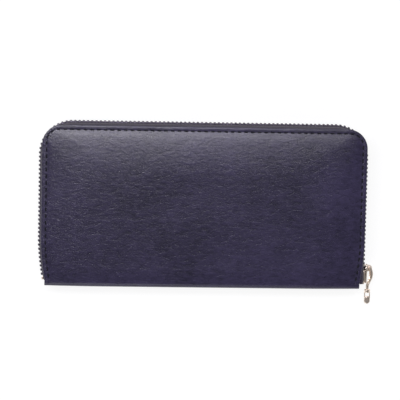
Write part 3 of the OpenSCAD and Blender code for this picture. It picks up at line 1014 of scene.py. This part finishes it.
def gussetPiece(side, level):
    node = f"gusset_{side}_{level}"
    low, high = nodeBox(node)
    sign = 1 if low[0] > 0 else -1
    outer = max(abs(low[0]), abs(high[0]))
    wall = coinHigh[0] - 0.9
    gap = backLow[2] - low[2] if level == "lower" else high[2] - coinHigh[2]
    rings, widths = [], []
    near = gussetFold(gusset["foldNear"], outer, wall, gap)
    far = gussetFold(gusset["foldFar"], outer, wall, gap)
    for share in np.linspace(0, 1, gusset["rows"]):
        y = low[1] + (high[1] - low[1]) * share
        centre = near + (far - near) * (share + 0.06 * math.sin(share * 2 * math.pi))
        widths.append(np.linalg.norm(np.diff(centre, axis=0), axis=1).sum())
        centre[:, 1] = low[2] + centre[:, 1] if level == "lower" else high[2] - centre[:, 1]
        along = np.gradient(centre, axis=0)
        along /= np.linalg.norm(along, axis=1)[:, None]
        normal = np.column_stack([along[:, 1], -along[:, 0]]) * gusset["thick"] / 2
        outline = np.vstack([centre + normal, (centre - normal)[::-1]])
        rings.append([(sign * x, y, z) for x, z in outline])
    piece = addMesh(f"{side}_gusset_{level}", *tube(rings), "tape")
    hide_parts(node)
    long = high[1] - low[1]
    print(node, "cloth", round(min(widths), 1), "to", round(max(widths), 1), "by", round(long, 1))
    area = sum(widths) / len(widths) * long * mm * mm
    max(widths) * mm
    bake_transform(piece)


for side in ("left", "right"):
    for level in ("lower", "upper"):
        gussetPiece(side, level)
print("gussets made")

# stops at the ends of the main zip
for node, rider in {"zip_bottom_stop": "bottom_cover", "zip_top_stop_lower": "bottom_cover",
                    "zip_top_stop_upper": "top_cover"}.items():
    low, high = nodeBox(node)
    stop = rounded(node + "_crimp", [(low[0], low[1]), (high[0], low[1]), (high[0], high[1]),
                                     (low[0], high[1])], low[2], high[2], 0.4, "gold", rider)
    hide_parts(node)


studio = {"floor": 3.0, "dome": (0.6, 0.16), "key": 6.1, "front": 1.0}
floorFinish = Finish("pale floor")
floorFinish.set(Base_Color=rgb(0.2, 0.2, 0.2), Roughness=0.9,
                Emission_Color=floorFinish.mix(rgb(0.9, 0.9, 0.9), rgb(1, 1, 1),
                                               floorFinish.noise(2.0)),
                Emission_Strength=0.9)
bpy.ops.mesh.primitive_grid_add(x_subdivisions=4, y_subdivisions=4, size=studio["floor"])
ground = bpy.context.object
ground.name = "floor"
ground.location.z = -0.0002
ground.data.materials.append(floorFinish.material)

world = bpy.data.worlds.new("studio")
bpy.context.scene.world = world
world.use_nodes = True
nodes, links = world.node_tree.nodes, world.node_tree.links
spot, split, dome = (nodes.new(kind) for kind in (
    "ShaderNodeTexCoord", "ShaderNodeSeparateXYZ", "ShaderNodeMapRange"))
links.new(spot.outputs["Generated"], split.inputs["Vector"])
links.new(split.outputs["Z"], dome.inputs["Value"])
dome.inputs["From Min"].default_value, dome.inputs["From Max"].default_value = 0.45, 0.88
dome.inputs["To Min"].default_value, dome.inputs["To Max"].default_value = studio["dome"]
links.new(dome.outputs["Result"], nodes["Background"].inputs["Strength"])
nodes["Background"].inputs["Color"].default_value = rgb(1, 1, 1)


def softLight(name, place, aim, size, power, tint=(1, 1, 1)):
    lamp = bpy.data.lights.new(name, "AREA")
    lamp.shape = "RECTANGLE"
    lamp.size, lamp.size_y = size
    lamp.energy, lamp.color = power, tint
    light = bpy.data.objects.new(name, lamp)
    bpy.context.scene.collection.objects.link(light)
    light.location = place
    light.rotation_euler = (Vector(aim) - Vector(place)).to_track_quat("-Z", "Y").to_euler()


softLight("key", (-0.16, 0.3, 0.98), (-0.14, 0.02, 0.02), (0.64, 0.155), studio["key"],
          (0.94, 0.92, 1.0))
softLight("front", (-0.22, -0.66, 0.5), (0, -0.03, 0), (0.6, 0.25), studio["front"])

# the camera stands over the wallet, a little towards its top edge and its left side
shot = {"distance": 1.25, "width": 0.2361, "north": 7.2, "west": 3.9, "roll": 1.3,
        "aim": (-0.0028, 0.0048)}
lens = bpy.data.cameras.new("camera")
camera = bpy.data.objects.new("camera", lens)
bpy.context.scene.collection.objects.link(camera)
lens.sensor_width = 36
lens.lens = lens.sensor_width * shot["distance"] / shot["width"]
target = Vector((shot["aim"][0], shot["aim"][1], thick * mm))
west, north = (math.tan(math.radians(shot[way])) for way in ("west", "north"))
back = Vector((-west, north, 1)).normalized()
camera.location = target + back * shot["distance"]
right = Vector((0, 1, 0)).cross(back).normalized()
upward = back.cross(right)
roll = Matrix.Rotation(math.radians(shot["roll"]), 3, "Z")
camera.rotation_euler = (Matrix((right, upward, back)).transposed() @ roll).to_euler()
bpy.context.scene.camera = camera
bpy.context.scene.view_settings.view_transform = "Standard"
print("studio made")
